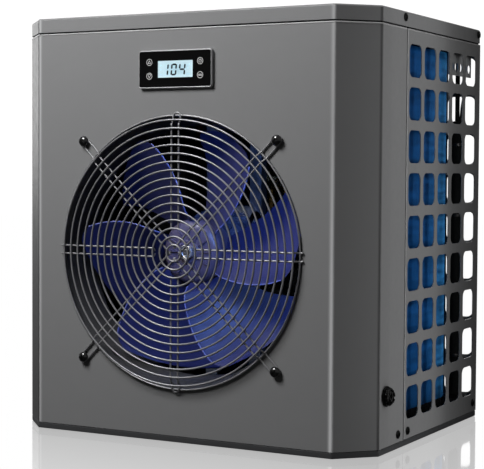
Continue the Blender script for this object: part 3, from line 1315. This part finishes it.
def coil_at(distance):
    """Point on the mid line, direction along it and inward normal."""
    if distance <= SIDE_LEG:
        point = Vector((COIL_X - HALF_COIL, COIL_FRONT + distance))
        return point, Vector((0, 1)), Vector((-1, 0))
    distance -= SIDE_LEG
    if distance <= BEND_LENGTH:
        angle = distance / MID_RADIUS
        outward = Vector((math.cos(angle), math.sin(angle)))
        return BEND_CENTRE + outward * MID_RADIUS, Vector((-outward.y, outward.x)), -outward
    distance -= BEND_LENGTH
    point = Vector((BEND_CENTRE.x - distance, COIL_REAR - HALF_COIL))
    return point, Vector((-1, 0)), Vector((0, -1))


def fin(distance):
    point, along, inward = coil_at(distance)
    corners = []
    for z in (COIL_BOTTOM, COIL_TOP):
        for depth in (-HALF_COIL, HALF_COIL):
            for shift in (-0.16, 0.16):
                spot = point + inward * depth + along * shift
                corners.append((spot.x, spot.y, z))
    return corners, BOX_FACES


def coil_tube(offset, z):
    """Tube through the whole length of the coil."""
    distances = [0.4] + [6 + j * ((COIL_LENGTH - 12) / 30) for j in range(31)]
    path = []
    for distance in distances + [COIL_LENGTH - 0.4]:
        point, _, inward = coil_at(distance)
        spot = point + inward * offset
        path.append((spot.x, spot.y, z))
    return sweep(path, TUBE_RADIUS, 8)


def return_bend(offset, z):
    """U-bend from one tube to the next above it, at the left end of the rear leg."""
    y, half = COIL_REAR - HALF_COIL - offset, TUBE_PITCH / 2
    path = [(COIL_LEFT + 2, y, z)]
    for j in range(9):
        q = PI * j / 8
        path.append((COIL_LEFT - 3 - 9 * math.sin(q), y, z + half - half * math.cos(q)))
    path.append((COIL_LEFT + 2, y, z + TUBE_PITCH))
    return sweep(path, TUBE_RADIUS, 8)


build("evaporator_fin_pack",
      [fin(min(COIL_LENGTH - 0.2, i * FIN_PITCH + 0.3))
       for i in range(int(COIL_LENGTH / FIN_PITCH) + 1)],
      "fin_blue", replaces="evaporator_fins", weighted=False)
tubes = []
first_tube = COIL_BOTTOM + 11
for offset, rise in TUBE_ROWS:
    for k in range(18):
        z = first_tube + k * TUBE_PITCH + rise
        if z <= COIL_TOP - 5:
            tubes.append(coil_tube(offset, z))
for k in range(0, 17, 2):
    for offset, rise in TUBE_ROWS:
        z = first_tube + k * TUBE_PITCH + rise
        if z + TUBE_PITCH < COIL_TOP - 4:
            tubes.append(return_bend(offset, z))
build("evaporator_tubes", tubes, "copper", angle=60, weighted=False)
# end plates of the coil: label, centre x, centre y, width, depth
for label, x, y, width, depth in (
        ("front", COIL_X - HALF_COIL, COIL_FRONT - 1.1, COIL_THICKNESS, 1.0),
        ("left", COIL_LEFT - 0.9, COIL_REAR - HALF_COIL, 1.0, COIL_THICKNESS)):
    build("coil_end_plate_" + label,
          [prism(rounded_rect(x, y, width, depth, 0.3, 2), COIL_BOTTOM - 2, COIL_TOP + 2,
                 "z", bevel=0.3)], "zinc_sheet")

# ------------------------------------------------------------------ water connections
# profiles are (radius, x from the centre of the part)
TAIL_PROFILE = [(15, 0), (23.0, 0), (23.4, -0.4), (23.4, -3.6), (23.0, -4.0), (19.6, -4.0),
                (19.0, -4.6), (19.0, -30)]
for k in range(3):  # barbs
    x = -32 - k * 8
    TAIL_PROFILE += [(19.0, x), (18.2, x - 0.4), (18.4, x - 2), (19.0, x - 6.6)]
TAIL_PROFILE += [(19.0, -56.6), (18.4, -58.0), (15.6, -58.0), (15, -57.4)]
UNION_PROFILE = [(19.8, 1.6), (24.4, 1.6), (25.6, 2.2), (26.2, 3.4), (26.2, 10), (26.2, 17.4),
                 (25.4, 18.8), (24.0, 19.4), (20.6, 19.4), (19.8, 18.8)]
BEAD_PROFILE = [(26.6, -1.2), (29.0, -1.0), (29.4, -0.5), (29.2, -0.15), (26.6, 0.0)]
SLEEVE_PROFILE = [(19.15, 20.6), (27.6, 20.6), (27.6, 1.5), (29.2, 1.5), (29.2, 22.6),
                  (19.15, 22.6)]


def union_ribs(angle, r, h):
    return r - 1.5 * wave(angle, 18) ** 3 if r > 25 else r


for name, z, body in (("water_inlet", INLET_Z, "inlet_nut"),
                      ("water_outlet", OUTLET_Z, "outlet_nut")):
    opening = (-SIDE_X, WATER_Y, z)
    build(name + "_tail_pipe",
          [lathe(TAIL_PROFILE, 72, "x", (-SIDE_X + 23.6, WATER_Y, z))],
          "grey_plastic", replaces=name + "_tail", angle=30)
    build(name + "_union_ribbed", [lathe(UNION_PROFILE, 144, "x", opening, union_ribs)],
          "black_plastic", body=body, replaces=name + "_union_nut", angle=40)
    build(name + "_opening_bead", [lathe(BEAD_PROFILE, 72, "x", opening),
                                   lathe(SLEEVE_PROFILE, 72, "x", opening)],
          "seal_rubber", angle=40)

# ------------------------------------------------------------------ line behind the grille
# upright foam sleeve in the rear right corner, with a thinner tube out of its top
LINE_X, LINE_Y = 187, 147
build("liquid_line_insulated", [
    lathe([(0, 24), (6.4, 24), (7.8, 25), (8.2, 27), (8.2, 331), (7.8, 334), (6.6, 336),
           (2.8, 337), (0, 337)], 40, "z", (LINE_X, LINE_Y, 0)),
    sweep(fillet_path([(LINE_X, LINE_Y, 330), (LINE_X, LINE_Y, 406), (186, LINE_Y, 413),
                       (150, 146, 414)], 6, 6), 2.6, 16)],
    "foam_black", replaces="liquid_line", angle=40)
build("sensor_lead", [sweep(fillet_path([
    (190.5, LINE_Y, 334), (192, LINE_Y, 352), (195, LINE_Y, 370), (195.5, LINE_Y, 392),
    (193, LINE_Y, 412), (176, 146, 418)], 9, 6), 1.3, 12)], "seal_rubber", angle=50)
for z in (70, 150, 230, 310):
    build("sleeve_tie_%d" % z, [lathe([
        (7.9, -1.6), (8.7, -1.6), (8.9, -1.2), (8.9, 1.2), (8.7, 1.6), (7.9, 1.6)],
        40, "z", (LINE_X, LINE_Y, z))], "black_plastic", angle=40)

# ------------------------------------------------------------------ parts kept from the CAD
CARRIED = {
    "motor_bracket": "zinc_sheet", "controller_board": "circuit_board",
    "coil_support_rail": "black_plastic", "evaporator_header": "copper",
    "compressor": "compressor_paint", "compressor_grommet_1": "seal_rubber",
    "compressor_grommet_2": "seal_rubber", "compressor_grommet_3": "seal_rubber",
    "accumulator": "compressor_paint", "four_way_valve": "brass", "filter_drier": "copper",
    "discharge_line": "copper", "suction_line": "copper", "heat_exchanger": "black_plastic",
    "electrical_box": "zinc_sheet", "control_board": "circuit_board",
    "wiring_rail": "zinc_sheet",
}
BEVELLED = ("motor_bracket", "coil_support_rail", "electrical_box", "wiring_rail")
for name, material in CARRIED.items():
    ob = NODES[name]
    ob.data.materials.clear()
    ob.data.materials.append(MATERIALS[material])
    ob.data.shade_smooth()
    ob.data.set_sharp_from_angle(angle=math.radians(40))
    if name in BEVELLED:
        bevel = ob.modifiers.new("edge", "BEVEL")
        bevel.width = 0.0004
        bevel.segments = 2
        bevel.limit_method = "ANGLE"
        bevel.angle_limit = math.radians(50)


# ------------------------------------------------------------------ stage
WHITE = (1, 1, 1, 1)


def pale_floor():
    """White to the camera with a fading reflection; nearly dark as a light source."""
    shader = MaterialShader("pale_floor")
    calc = shader.math
    camera_ray = shader.add("LightPath").outputs["Is Camera Ray"]
    glow = shader.add("Emission", {0: WHITE, 1: shader.map_range(camera_ray, to=(0.03, 1.0))})
    roughness = shader.noise_range(shader.noise(3.0, detail=2, roughness=0.5), 0.045, 0.065)
    mirror = shader.add("BsdfGlossy", {0: WHITE, "Roughness": roughness})

    # distance in metres outside the footprint of the cabinet; ABSOLUTE ignores its 0.0
    x, y, _ = shader.xyz()
    away = calc("MAXIMUM",
                calc("SUBTRACT", calc("ABSOLUTE", y, 0.0), REAR_Y * MM),
                calc("SUBTRACT", calc("ABSOLUTE", x, 0.0), SIDE_X * MM))
    far = shader.map_range(away, source=(0.24, 0.60), to=(1.0, 0.0),
                           interpolation_type="SMOOTHSTEP")
    near = shader.map_range(away, source=(0.0, 0.24), to=(0.90, 0.62))
    amount = calc("MULTIPLY", calc("MULTIPLY", camera_ray, near), far)
    mix = shader.add("MixShader", {0: calc("MULTIPLY", amount, 0.60),
                                   1: glow.outputs[0], 2: mirror.outputs[0]})
    shader.add("OutputMaterial", {0: mix.outputs[0]})
    return shader.owner


FLOOR_REACH, FLOOR_Z = 6000, -0.4
floor_corners = [(x, y, FLOOR_Z)
                 for x, y in rect(-FLOOR_REACH, FLOOR_REACH, -FLOOR_REACH, FLOOR_REACH)]
floor = bpy.data.objects.new("floor", make_mesh("floor", [(floor_corners, [(0, 1, 2, 3)])]))
scene.collection.objects.link(floor)
floor.data.materials.append(pale_floor())
floor.visible_shadow = False


def studio_world():
    """Separate white levels for what is seen, what lights the unit and what it reflects."""
    seen, lighting, reflected = 1.05, 0.02, 0.22
    shader = Shader(bpy.data.worlds.new("studio"))

    def background(strength):
        return shader.add("Background", {0: WHITE, 1: strength})

    # a bright low backdrop behind the unit, present only in reflections
    incoming = shader.add("NewGeometry").outputs["Incoming"]
    facing = shader.add("VectorMath", {0: incoming, 1: (0.4765, -0.8791, 0.0)},
                        operation="DOT_PRODUCT").outputs["Value"]
    backdrop = shader.map_range(facing, source=(0.90, 0.955), to=(reflected, 1.0))
    reflection = background(reflected)
    shader.tree.links.new(backdrop, reflection.inputs[1])

    rays = shader.add("LightPath").outputs
    indirect = shader.add("MixShader", {0: rays["Is Glossy Ray"],
                                        1: background(lighting).outputs[0],
                                        2: reflection.outputs[0]})
    result = shader.add("MixShader", {0: rays["Is Camera Ray"], 1: indirect.outputs[0],
                                      2: background(seen).outputs[0]})
    shader.add("OutputWorld", {0: result.outputs[0]})
    return shader.owner


scene.world = studio_world()


def area_light(name, position, target, size, power, color=(1, 1, 1)):
    """Rectangular light in metres and watts, aimed at a target."""
    light = bpy.data.lights.new(name, "AREA")
    light.shape = "RECTANGLE"
    light.size, light.size_y = size
    light.energy = power
    light.color = color
    ob = bpy.data.objects.new(name, light)
    ob.location = position
    direction = Vector(target) - Vector(position)
    ob.rotation_euler = direction.to_track_quat("-Z", "Y").to_euler()
    scene.collection.objects.link(ob)
    ob.visible_camera = False
    return ob


area_light("key", position=(-0.366, -0.869, 1.068), target=(0, -0.1, 0.2),
           size=(0.45, 0.45), power=14.5)
area_light("side_strip", position=(0.367, -0.067, 0.359), target=(0.2, -0.08, 0.359),
           size=(0.05, 1.93), power=1.1)
area_light("back_fill", position=(-0.7, 1.5, 0.9), target=(0, 0.1, 0.2),
           size=(0.9, 0.9), power=12)
area_light("left_fill", position=(-1.5, 0.35, 0.6), target=(-0.2, 0.0, 0.2),
           size=(0.7, 0.7), power=6)

# a blue light that falls on the fan parts only; of those only hub and nut cast its shadows
fan_light = area_light("fan_light", position=(0.235, -0.42, 0.40), target=(0.09, -0.10, 0.18),
                       size=(0.14, 0.14), power=0.80, color=(0.46, 0.88, 2.5))
LIT_PREFIXES = ("fan_blades", "fan_hub", "fan_nut", "fan_blade_rims", "fan_motor_shell",
                "motor_shaft")
lit_fan = bpy.data.collections.new("lit_fan")
for ob in list(scene.collection.objects):
    if ob.name.startswith(LIT_PREFIXES) or ob.name == "motor_bracket":
        lit_fan.objects.link(ob)
fan_light.light_linking.receiver_collection = lit_fan
fan_shadow = bpy.data.collections.new("fan_shadow")
for ob in list(lit_fan.objects):
    if ob.name.startswith(("fan_hub", "fan_nut")):
        fan_shadow.objects.link(ob)
fan_light.light_linking.blocker_collection = fan_shadow

# ------------------------------------------------------------------ camera
CAMERA_PLACE = (0.76802, FRONT_Y * MM - 1.27802, 0.27975)
CAMERA_FORWARD = (-0.4765, 0.87807, -0.04399)
CAMERA_YAW, CAMERA_ROLL = math.radians(28.486), 0.0059

camera_data = bpy.data.cameras.new("camera")
camera_data.sensor_width = 36
camera_data.lens = 108.72
camera = bpy.data.objects.new("camera", camera_data)
scene.collection.objects.link(camera)
forward = Vector(CAMERA_FORWARD).normalized()
level = Vector((math.cos(CAMERA_YAW), math.sin(CAMERA_YAW), 0))
up = level.cross(forward).normalized()
right = forward.cross(up).normalized()
right = right * math.cos(CAMERA_ROLL) + up * math.sin(CAMERA_ROLL)
up = right.cross(forward).normalized()
rows = [(right[i], up[i], -forward[i], CAMERA_PLACE[i]) for i in range(3)]
camera.matrix_world = Matrix((*rows, (0, 0, 0, 1)))
scene.camera = camera
scene.view_settings.view_transform = "Standard"
scene.view_settings.look = "None"
scene.view_settings.exposure = 0.0
scene.view_settings.gamma = 1.0
